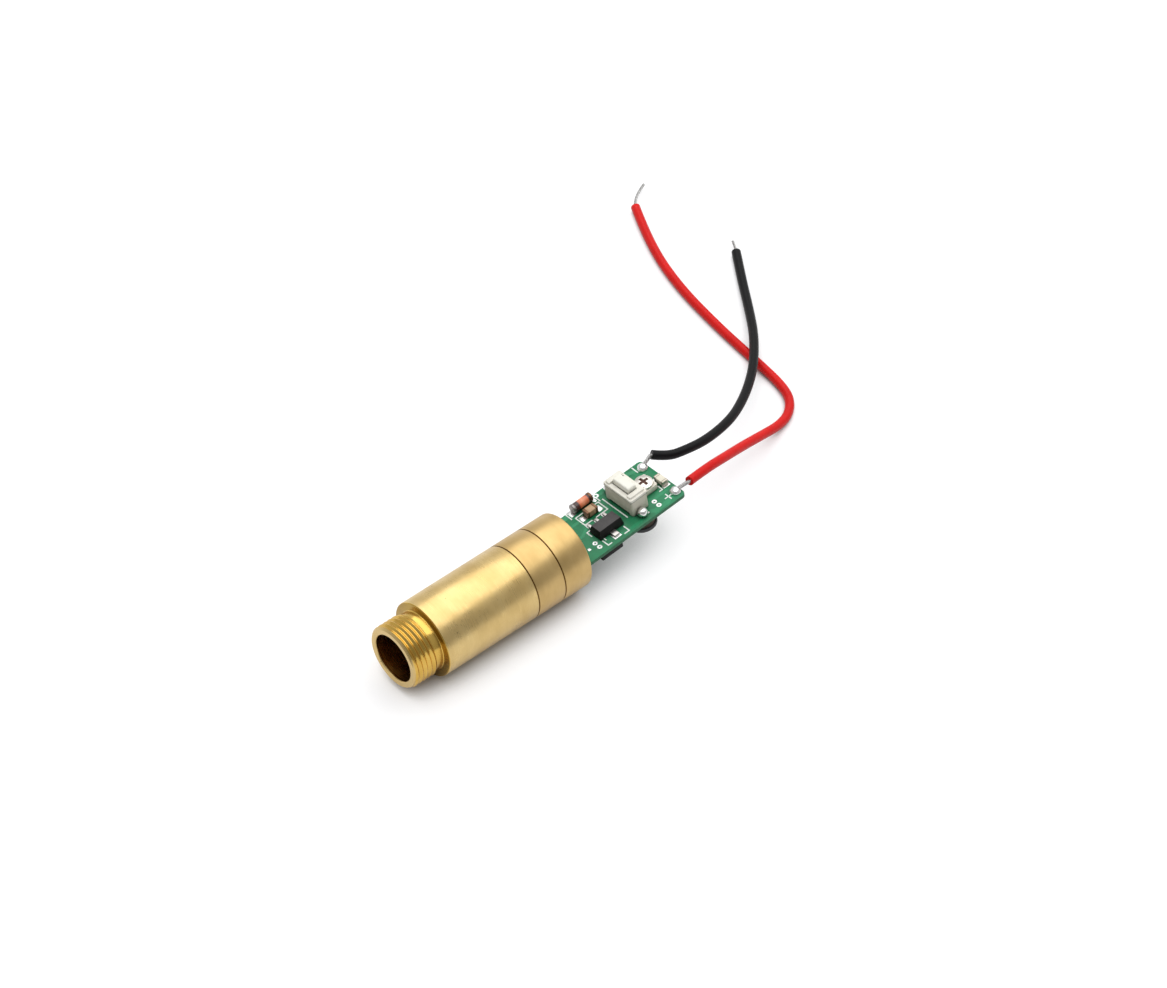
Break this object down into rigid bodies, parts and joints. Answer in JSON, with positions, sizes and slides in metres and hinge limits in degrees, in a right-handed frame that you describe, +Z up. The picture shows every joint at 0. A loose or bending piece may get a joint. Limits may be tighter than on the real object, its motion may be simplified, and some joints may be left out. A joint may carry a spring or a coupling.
{
  "type": "laser diode module",
  "caption": "Brass laser module with a threaded nose and open aperture bore, a driver board with a push switch and a trimmer behind it, and a red and a black supply lead.",
  "frame": {"origin": "centre of the nose's front face, on the beam axis", "axes": "-Y along the beam, out of the nose; +Z up, out of the board's component side but for its roll of 5 degrees; +X completes the frame"},
  "size_m": [0.0609, 0.0982, 0.012],
  "materials": {
    "brass": "turned, fine satin",
    "lens_glass": "polished, coated",
    "filter_glass": "polished",
    "doubler": "polished",
    "laser_medium": "polished",
    "diode_metal": "gold plated",
    "board": "solder mask on fibreglass",
    "cream_plastic": "moulded",
    "dome_steel": "spring steel",
    "tinned_metal": "tinned",
    "solder": "bright solder",
    "chip_ends": "tinned",
    "trimmer_white": "ceramic",
    "trimmer_metal": "nickel plated",
    "package_black": "moulded",
    "diode_glass": "glass",
    "capacitor_tan": "ceramic",
    "capacitor_cream": "ceramic",
    "ferrite": "sintered",
    "copper": "enamelled wire",
    "conductor": "tinned strands",
    "red_insulation": "extruded",
    "black_insulation": "extruded"
  },
  "bodies": {
    "module": {"front_barrel": "brass", "crystal_holder": "brass", "diode_holder": "brass", "lens_cell": "brass", "lens_retainer": "brass", "collimating_lens": "lens_glass", "expander_lens": "lens_glass", "diode_window": "lens_glass", "infrared_filter": "filter_glass", "doubling_crystal": "doubler", "laser_crystal": "laser_medium", "diode_header": "diode_metal", "diode_can": "diode_metal", "diode_pins": "diode_metal", "driver_board": "board", "switch_base": "cream_plastic", "switch_cover": "cream_plastic", "switch_dome": "dome_steel", "switch_terminals": "tinned_metal", "trimmer_terminals": "tinned_metal", "transistor_leads": "tinned_metal", "glass_diode_caps": "tinned_metal", "controller_leads": "tinned_metal", "inductor_terminals": "tinned_metal", "switch_solder": "solder", "positive_solder": "solder", "negative_solder": "solder", "filter_capacitor_ends": "chip_ends", "output_capacitor_ends": "chip_ends", "trimmer_base": "trimmer_white", "transistor_body": "package_black", "controller_chip": "package_black", "glass_diode": "diode_glass", "filter_capacitor": "capacitor_tan", "output_capacitor": "capacitor_cream", "inductor_core": "ferrite", "inductor_winding": "copper", "red_conductor": "conductor", "red_tip": "conductor", "black_conductor": "conductor", "black_tip": "conductor", "red_lead": "red_insulation", "black_lead": "black_insulation"},
    "button": {"switch_button": "cream_plastic"},
    "rotor": {"trimmer_rotor": "trimmer_metal"}
  },
  "joints": [
    {"name": "button_press", "type": "slide", "parent": "module", "child": "button", "axis": [0.0868, 0.0906, -0.9921], "range_m": [0, 0.00025], "stiffness_N_per_m": 2000, "deforming": ["switch_dome"]},
    {"name": "trimmer_turn", "type": "hinge", "parent": "module", "child": "rotor", "pos_m": [-0.00053, 0.04791, 0.00258], "axis": [-0.0868, -0.0906, 0.9921], "range_deg": [-130, 130]}
  ]
}
